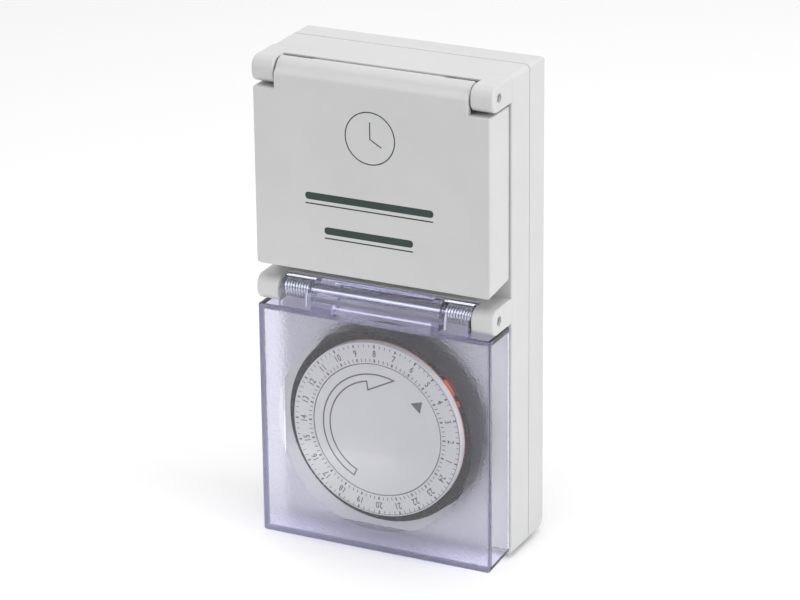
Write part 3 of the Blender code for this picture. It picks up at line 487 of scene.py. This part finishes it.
def ribbon(points, width, closed=False):
    """The outline or outlines of a line of even width through points."""
    count = len(points)
    sides = ([], [])
    for i, (x, z) in enumerate(points):
        before = points[i - 1] if i or closed else points[i]
        after = points[(i + 1) % count] if i < count - 1 or closed else points[i]
        first = Vector((x - before[0], z - before[1])).normalized()
        second = Vector((after[0] - x, after[1] - z)).normalized()
        along = (first + second).normalized()
        across = Vector((-along.y, along.x))
        reach = width / 2 / max(0.35, abs(across.dot(Vector((-second.y,
                                                             second.x))) if second.length else 1.0))
        sides[0].append((x + across.x * reach, z + across.y * reach))
        sides[1].append((x - across.x * reach, z - across.y * reach))
    return [sides[0], sides[1]] if closed else [sides[0] + sides[1][::-1]]


mark = ribbon(ring(0, 54.5, 7.8, 96), 0.34, True)
mark += ribbon([(0, 59.4), (0, 54.3), (3.6, 52.2)], 0.34)
for x0, x1, z, tall in ((-21, 19.8, 34.6, 2.2), (-21, 19.8, 32.3, 0.4), (-15, 13.3, 24.6, 2.2),
                        (-15, 13.3, 22.3, 0.4)):
    mark.append(soft_rectangle(x0, x1, z - tall / 2, z + tall / 2, tall * 0.45))
for number, shapes in enumerate((mark[:2], mark[2:3], mark[3:]), 1):
    fit(ink(f"flap_print_{number}", shapes, lid_front), "flap", "dark_insert", print_green)


# --- Dial cover --------------------------------------------------------------------------------
# The same lid in clear violet polycarbonate, 2 mm thick. Its front is frosted by a textured mould
# face all round a polished window, so only the dial reads clearly through it.

frost, frost_in, frost_out = effect_group(
    "frosted_front",
    [("Window radius", VALUE, 0.0315), ("Centre height", VALUE, dial_z * mm),
     ("Frosted roughness", VALUE, 0.24),
     ("Depth", VALUE, 0.8), ("Wall tint", COLOUR, (0.95, 0.945, 1.0, 1))],
    [("Colour", COLOUR), ("Roughness", VALUE), ("Normal", NORMAL)],
)
place = frost.nodes.new("ShaderNodeTexCoord")
split = frost.nodes.new("ShaderNodeSeparateXYZ")
drop_z = frost.nodes.new("ShaderNodeMath")
drop_z.operation = "SUBTRACT"
flat_at = frost.nodes.new("ShaderNodeCombineXYZ")
reach = frost.nodes.new("ShaderNodeVectorMath")
reach.operation = "LENGTH"
outside = frost.nodes.new("ShaderNodeMath")
outside.operation = "GREATER_THAN"
front_only = frost.nodes.new("ShaderNodeMath")
front_only.operation, front_only.inputs[1].default_value = "LESS_THAN", -36.9 * mm
below = frost.nodes.new("ShaderNodeMath")
below.operation, below.inputs[1].default_value = "LESS_THAN", -1.6 * mm
both = frost.nodes.new("ShaderNodeMath")
both.operation = "MULTIPLY"
mask = frost.nodes.new("ShaderNodeMath")
mask.operation = "MULTIPLY"
rough = frost.nodes.new("ShaderNodeMath")
rough.operation = "MULTIPLY"
polish = frost.nodes.new("ShaderNodeMath")
polish.operation, polish.inputs[1].default_value = "ADD", 0.1
grainy = frost.nodes.new("ShaderNodeTexNoise")
grainy.inputs["Scale"].default_value, grainy.inputs["Detail"].default_value = 1500.0, 1.0
dents = frost.nodes.new("ShaderNodeBump")
dents.inputs["Distance"].default_value = 0.0003
strength = frost.nodes.new("ShaderNodeMath")
strength.operation = "MULTIPLY"
stain = frost.nodes.new("ShaderNodeMix")
stain.data_type = "RGBA"
stain.inputs[6].default_value = (1, 1, 1, 1)
wire(
    frost, (place.outputs["Object"], split.inputs[0]), (split.outputs["X"], flat_at.inputs["X"]),
    (split.outputs["Z"], drop_z.inputs[0]), (frost_in.outputs["Centre height"], drop_z.inputs[1]),
    (drop_z.outputs[0], flat_at.inputs["Z"]), (flat_at.outputs[0], reach.inputs[0]),
    (reach.outputs["Value"], outside.inputs[0]), (frost_in.outputs["Window radius"], outside.inputs[1]),
    (split.outputs["Y"], front_only.inputs[0]), (split.outputs["Z"], below.inputs[0]),
    (front_only.outputs[0], both.inputs[0]), (below.outputs[0], both.inputs[1]),
    (both.outputs[0], mask.inputs[0]), (outside.outputs[0], mask.inputs[1]),
    (mask.outputs[0], rough.inputs[0]), (frost_in.outputs["Frosted roughness"], rough.inputs[1]),
    (rough.outputs[0], polish.inputs[0]), (polish.outputs[0], frost_out.inputs["Roughness"]),
    (place.outputs["Object"], grainy.inputs["Vector"]), (grainy.outputs["Fac"], dents.inputs["Height"]),
    (mask.outputs[0], strength.inputs[0]), (frost_in.outputs["Depth"], strength.inputs[1]),
    (strength.outputs[0], dents.inputs["Strength"]), (dents.outputs[0], frost_out.inputs["Normal"]),
    (outside.outputs[0], stain.inputs[0]), (frost_in.outputs["Wall tint"], stain.inputs[7]),
    (stain.outputs[2], frost_out.inputs["Colour"]),
)

violet_clear = bpy.data.materials.new("violet_clear")
violet_clear.use_nodes = True
tree = violet_clear.node_tree
glass = tree.nodes["Principled BSDF"]
glass.inputs["Transmission Weight"].default_value = 1.0
glass.inputs["IOR"].default_value = 1.45
texture = tree.nodes.new("ShaderNodeGroup")
texture.node_tree = frost
let_light = tree.nodes.new("ShaderNodeBsdfTransparent")
let_light.inputs["Color"].default_value = (1, 1, 1, 1)
rays = tree.nodes.new("ShaderNodeLightPath")
blend = tree.nodes.new("ShaderNodeMixShader")
tinted = tree.nodes.new("ShaderNodeVolumeAbsorption")
tinted.inputs["Color"].default_value = (0.3, 0.28, 0.95, 1)
tinted.inputs["Density"].default_value = 24.0
output = tree.nodes["Material Output"]
wire(
    tree, (texture.outputs["Colour"], glass.inputs["Base Color"]),
    (texture.outputs["Roughness"], glass.inputs["Roughness"]),
    (texture.outputs["Normal"], glass.inputs["Normal"]),
    (rays.outputs["Is Shadow Ray"], blend.inputs[0]), (glass.outputs[0], blend.inputs[1]),
    (let_light.outputs[0], blend.inputs[2]), (blend.outputs[0], output.inputs["Surface"]),
    (tinted.outputs[0], output.inputs["Volume"]),
)

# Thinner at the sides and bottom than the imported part, whose walls are lid_wall all round.
cover_side_wall = 1.4
cover = lid_blank("dial_cover", cover_axis, (-74.3, -73.4), 0.3, 0.4, 3.0, cover_side_wall)
carve(cover, block("throat", -16, 16, hinge_y + 3.5, 0, -5.5, 10))
fit(smooth(cover), "cover", "violet_clear", violet_clear, "dial_cover")


# --- Hinge pins and springs --------------------------------------------------------------------
# A bright steel rod through each lid's barrel and both ears. Two torsion springs of zinc-plated
# wire sit on it: one leg presses inside the lid, the other on the housing's face.

for name, axis in (("flap_hinge_pin", flap_axis), ("cover_hinge_pin", cover_axis)):
    end = [(0, 37.3), (0.8, 37.3), (1.1, 37.15), (1.2, 36.9)]
    rod = lathed(name, end + [(1.2, 0)] + [(r, -h) for r, h in reversed(end)], (0, hinge_y, axis), 40, "side")
    fit(smooth(rod), "housing", "zinc_steel", zinc, name)


def coil(name, axis, sign):
    """One wire: a leg in the lid, close turns round the pin, and a leg to the housing."""
    mean, steps, sweep, start, end = 2.3, 260, math.radians(8 * 360 + 130), 22.3, 29.7
    points = [(start, hinge_y - mean - 0.1, axis - 4.1), (start, hinge_y - mean - 0.05, axis - 2)]
    for i in range(steps + 1):
        turn = math.pi - sweep * i / steps
        points.append((start + (end - start) * i / steps, hinge_y + mean * math.cos(turn),
                       axis + mean * math.sin(turn)))
    points += [(end, hinge_y + 4.3, axis - 0.62), (end, hinge_y + 7.8, axis - 3.55)]
    curve = bpy.data.curves.new(name, "CURVE")
    wire_radius = 0.36
    curve.dimensions, curve.use_fill_caps = "3D", True
    curve.bevel_depth, curve.bevel_resolution = wire_radius * mm, 3
    spline = curve.splines.new("POLY")
    spline.points.add(len(points) - 1)
    for point, (x, y, z) in zip(spline.points, points):
        point.co = (sign * x * mm, y * mm, z * mm, 1)
    spline.use_smooth = True
    made = bpy.data.objects.new(name, curve)
    bpy.context.scene.collection.objects.link(made)
    return made


for lid, axis, body in (("flap", flap_axis, "flap"), ("cover", cover_axis, "cover")):
    for hand, sign in (("left", -1), ("right", 1)):
        fit(coil(f"{lid}_spring_{hand}", axis, sign), body, "zinc_steel", zinc, f"{lid}_spring_{hand}")


# --- Number dial and centre disc ---------------------------------------------------------------
# The ring that turns once a day, in pale lavender-grey, round a fixed disc with the turning arrow.
# The hours run against the turn, and each hour has one bold and three fine ticks, inside and out.

dial_grey = moulded("dial_grey", (0.49, 0.49, 0.482), 0.4, grains=2600.0, depth=0.1, drift=0.02)
print_grey = moulded("print_grey", (0.09, 0.085, 0.085), 0.5, grains=3000.0, depth=0.1, drift=0.15)
dial_face = -34.4

numbers = lathed("number_dial", [(2.75, 22), (2.75, 32.8), (20.85, 32.8), (20.85, 34.3), (21.0, 34.4),
                                 (27.0, 34.4),
                                 (27.2, 34.33), (27.3, 34.15), (27.3, 32.1), (25.3, 32.1), (25.3, 31.6),
                                 (6, 31.6), (6, 22)],
                 (0, 0, dial_z), 192)
fit(smooth(numbers), "dial", "dial_grey", dial_grey, "number_dial")

disc = lathed("centre_disc", [(0, 34.4), (20.3, 34.4), (20.5, 34.33), (20.6, 34.2), (20.6, 33.1), (0, 33.1)],
              (0, 0, dial_z), 160)
fit(smooth(disc), "housing", "dial_grey", dial_grey, "centre_disc")


def on_dial(radius, degrees):
    turn = math.radians(degrees)
    return radius * math.cos(turn), dial_z + radius * math.sin(turn)


def tick(inner, outer, degrees, width):
    x, z = on_dial(1, degrees)
    across = Vector((-(z - dial_z), x)) * width / 2
    a, b = Vector(on_dial(inner, degrees)), Vector(on_dial(outer, degrees))
    return [tuple(a + across), tuple(b + across), tuple(b - across), tuple(a - across)]


def hour_angle(hour):
    return 91.2 + 15 * (hour - 8)


ticks = []
for quarter in range(96):
    at, bold = hour_angle(quarter / 4), quarter % 4 == 0
    ticks.append(tick(25.75, 26.7, at, 0.5 if bold else 0.2))
    ticks.append(tick(21.3, 22.3, at, 0.5 if bold else 0.24))
fit(ink("dial_ticks", ticks, dial_face), "dial", "segment_black", print_grey)

night = [on_dial(26.75, hour_angle(18 + i / 8)) for i in range(97)] + [on_dial(25.7, hour_angle(30))]
fit(ink("dial_night_line", ribbon(night, 0.16), dial_face), "dial", "segment_black", print_grey)

for hour in range(1, 25):
    text = bpy.data.curves.new("hour", "FONT")
    text.body, text.size, text.align_x, text.align_y = str(hour), 2.85 * mm, "CENTER", "CENTER"
    text.extrude, text.resolution_u, text.space_character, text.offset = 0.01 * mm, 3, 1.05, 0.05 * mm
    letter = bpy.data.objects.new("hour", text)
    bpy.context.scene.collection.objects.link(letter)
    at = hour_angle(hour)
    x, z = on_dial(23.9, at)
    upright = Matrix.Rotation(math.radians(90), 4, "X")
    swing = Matrix.Rotation(math.radians(-(at - 90)), 4, "Y")
    letter.matrix_world = Matrix.Translation((x * mm, (dial_face - 0.01) * mm,
                                              z * mm)) @ swing @ upright @ Matrix.Diagonal(
        (0.78, 1, 1, 1))
    bpy.context.view_layer.update()
    mesh = bpy.data.meshes.new_from_object(letter.evaluated_get(bpy.context.evaluated_depsgraph_get()))
    mesh.transform(letter.matrix_world)
    bpy.data.objects.remove(letter, do_unlink=True)
    digits = bpy.data.objects.new(f"dial_hour_{hour}", mesh)
    bpy.context.scene.collection.objects.link(digits)
    fit(digits, "dial", "segment_black", print_grey)

outer_line = [on_dial(17.5, 244 - 1.73 * i) for i in range(101)]
inner_line = [on_dial(15.3, 101.6 + 1.78 * i) for i in range(81)]
arrow = outer_line + [on_dial(12.6, 102.5)] + inner_line
fit(ink("centre_arrow", ribbon(arrow, 0.45, True), dial_face), "housing", "segment_black", print_grey)
pointer = [(11.1, dial_z + 10.4), (14.9, dial_z + 11.5), (14.1, dial_z + 7.6)]
fit(ink("centre_pointer", [pointer], dial_face), "housing", "segment_black", print_grey)


# --- Carrier and segments ----------------------------------------------------------------------
# An orange sleeve holds 96 black segments, one for each quarter of an hour. A pushed segment sinks
# and bares the sleeve. Five of them slide alone and the other 91 stand out together.

carrier_orange = moulded("carrier_orange", (0.62, 0.11, 0.05), 0.5, grains=2200.0, depth=0.2, drift=0.08)
segment_black = moulded("segment_black", (0.011, 0.011, 0.012), 0.5, grains=2000.0, depth=0.3, drift=0.1)

sleeve = lathed("dial_carrier", [(2.75, 19.8), (29.8, 19.8), (29.8, 21.2), (27.3, 21.2), (27.3, 31.4),
                                 (27.2, 31.5), (25.7, 31.5),
                                 (25.7, 21.2), (2.75, 21.2)], (0, 0, dial_z), 192)
fit(smooth(sleeve), "dial", "carrier_orange", carrier_orange, "dial_carrier")

first_loose, segment_deg, pushed_in = 22.75, 3.75, (True, False, True, True, True)
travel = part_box("segment_1")[0].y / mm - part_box("segment_2")[0].y / mm
segment_foot = -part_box("segment_2")[1].y / mm
segment_form = [(27.35, segment_foot), (30.1, segment_foot), (30.1, 31.35), (29.9, 31.6), (29.55, 31.6),
                (29.5, 31.42),
                (29.32, 31.42), (29.27, 31.6), (28.75, 31.6), (28.7, 31.42), (28.5, 31.42), (28.45, 31.6),
                (27.35, 31.6)]


def add_segment(shape, start_deg, sink):
    """One wedge with its stepped front, swept over its share of the ring."""
    slit = math.degrees(0.07 / 30.1)
    rows = []
    for step in range(4):
        turn = math.radians(start_deg + slit + (segment_deg - 2 * slit) * step / 3)
        rows.append([
            shape.verts.new((r * math.cos(turn) * mm, (sink - h) * mm, (dial_z + r * math.sin(turn)) * mm))
            for r, h in segment_form
        ])
    shape.faces.new(rows[0])
    shape.faces.new(rows[-1][::-1])
    count = len(segment_form)
    for before, after in zip(rows, rows[1:]):
        for i in range(count):
            shape.faces.new((before[i], before[(i + 1) % count], after[(i + 1) % count], after[i]))


standing = bmesh.new()
for number in range(len(pushed_in), 96):
    add_segment(standing, first_loose + number * segment_deg, 0)
fit(smooth(new_piece("tripper_ring", standing)), "dial", "segment_black", segment_black, "tripper_ring")
foot = lathed("tripper_foot", [(27.6, 21.6), (29.7, 21.6), (29.7, 23.8), (27.6, 23.8)], (0, 0, dial_z), 160)
fit(smooth(foot), "dial", "segment_black", segment_black)
for number, sunk in enumerate(pushed_in, 1):
    loose = bmesh.new()
    add_segment(loose, first_loose + (number - 1) * segment_deg, travel if sunk else 0)
    fit(smooth(new_piece(f"segment_{number}", loose)), f"loose_segment_{number}", "segment_black",
        segment_black,
        f"segment_{number}")


# --- Mechanism ---------------------------------------------------------------------------------
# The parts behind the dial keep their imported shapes: nylon gears, a zinc-cased motor, the black
# plate and switch, brass blades and straps, and the rubber cord in the seam.

nylon = moulded("gear_nylon", (0.76, 0.73, 0.64), 0.42, grains=1500.0, depth=0.15, drift=0.05)
inner_parts = {
    nylon: ("dial_gear", "idler_gear", "motor_pinion"),
    zinc: ("dial_post", "idler_shaft", "motor_body", "switch_lever", "plate_screw_1", "plate_screw_2",
           "plate_screw_3",
           "plate_screw_4"),
    insert_black: ("mechanism_plate", "switch_body"),
    brass: ("common_blade", "switched_blade", "live_link", "switched_link"),
    seal_rubber: ("housing_seal",),
}
for finish, names in inner_parts.items():
    for name in names:
        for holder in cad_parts[name].material_slots:
            holder.link, holder.material = "OBJECT", finish


# --- Studio ------------------------------------------------------------------------------------
# A white sweep under soft boxes: one overhead, one large at the right, a weaker one in front, and a
# tiny one that lifts the cover's lower half. Reflections and the clear lid see a white room. Its fill
# light on the parts, and the room as the camera sees it, are softer.

floor = slab("floor", [soft_rectangle(-2500, 2500, -2500, 2500, 100)], -2, 0, "Y")
laid_flat = Matrix.Rotation(math.radians(-90), 4, "X")
floor.matrix_world = Matrix.Translation((0, 0, cad_box[0].z - 0.003)) @ laid_flat
paper = moulded("sweep_paper", (0.93, 0.93, 0.93), 0.8, grains=300.0, depth=0.05, drift=0.0)
floor.data.materials.append(paper)

sky = bpy.data.worlds.new("studio")
sky.use_nodes = True
room = sky.node_tree.nodes["Background"]
room.inputs["Color"].default_value = (1, 1, 1, 1)
room.inputs["Strength"].default_value = 1.35
fill = sky.node_tree.nodes.new("ShaderNodeBackground")
fill.inputs["Color"].default_value = (1, 1, 1, 1)
fill.inputs["Strength"].default_value = 0.61
which = sky.node_tree.nodes.new("ShaderNodeLightPath")
softer = sky.node_tree.nodes.new("ShaderNodeMath")
softer.operation = "MAXIMUM"
either = sky.node_tree.nodes.new("ShaderNodeMixShader")
wire(
    sky.node_tree, (which.outputs["Is Diffuse Ray"], softer.inputs[0]),
    (which.outputs["Is Camera Ray"], softer.inputs[1]),
    (softer.outputs[0], either.inputs[0]), (room.outputs[0], either.inputs[1]),
    (fill.outputs[0], either.inputs[2]), (either.outputs[0],
                                          sky.node_tree.nodes["World Output"].inputs["Surface"]),
)
bpy.context.scene.world = sky


def softbox(name, place, aim, size, power):
    lamp = bpy.data.lights.new(name, "AREA")
    lamp.shape, lamp.size, lamp.size_y, lamp.energy = "RECTANGLE", size[0], size[1], power
    holder = bpy.data.objects.new(name, lamp)
    bpy.context.scene.collection.objects.link(holder)
    holder.location = place
    holder.rotation_mode = "QUATERNION"
    holder.rotation_quaternion = (Vector(aim) - Vector(place)).to_track_quat("-Z", "Y")
    return holder


softbox("overhead_box", (0.1, 0.0, 1.1), (0, 0, 0), (1.0, 1.0), 6.8)
softbox("right_box", (1.1, -0.1, 0.35), (0, 0, 0), (0.9, 0.9), 6.2)
softbox("front_box", (-0.5, -1.2, 0.5), (0, 0, 0), (0.9, 0.7), 1.9)
low_card = softbox("low_card", (-0.05, -0.1, -0.06), (-0.04, 0, -0.06), (0.05, 0.03), 0.02)
low_card.visible_camera = low_card.visible_glossy = low_card.visible_transmission = False

lens = bpy.data.cameras.new("camera")
lens.sensor_width, lens.lens = 36.0, 161.09
lens.clip_start, lens.clip_end = 0.05, 20.0
camera = bpy.data.objects.new("camera", lens)
bpy.context.scene.collection.objects.link(camera)
yaw, pitch, roll = 0.458, -0.372, -0.011
ahead = Vector((-math.sin(yaw) * math.cos(pitch), math.cos(yaw) * math.cos(pitch), math.sin(pitch)))
level = Vector((math.cos(yaw), math.sin(yaw), 0))
above = level.cross(ahead)
across = math.cos(roll) * level + math.sin(roll) * above
upward = -math.sin(roll) * level + math.cos(roll) * above
stand = Matrix.Translation((0.43187, -0.89488, 0.38016))
camera.matrix_world = stand @ Matrix((across, upward, -ahead)).transposed().to_4x4()
bpy.context.scene.camera = camera
bpy.context.scene.view_settings.view_transform = "Standard"
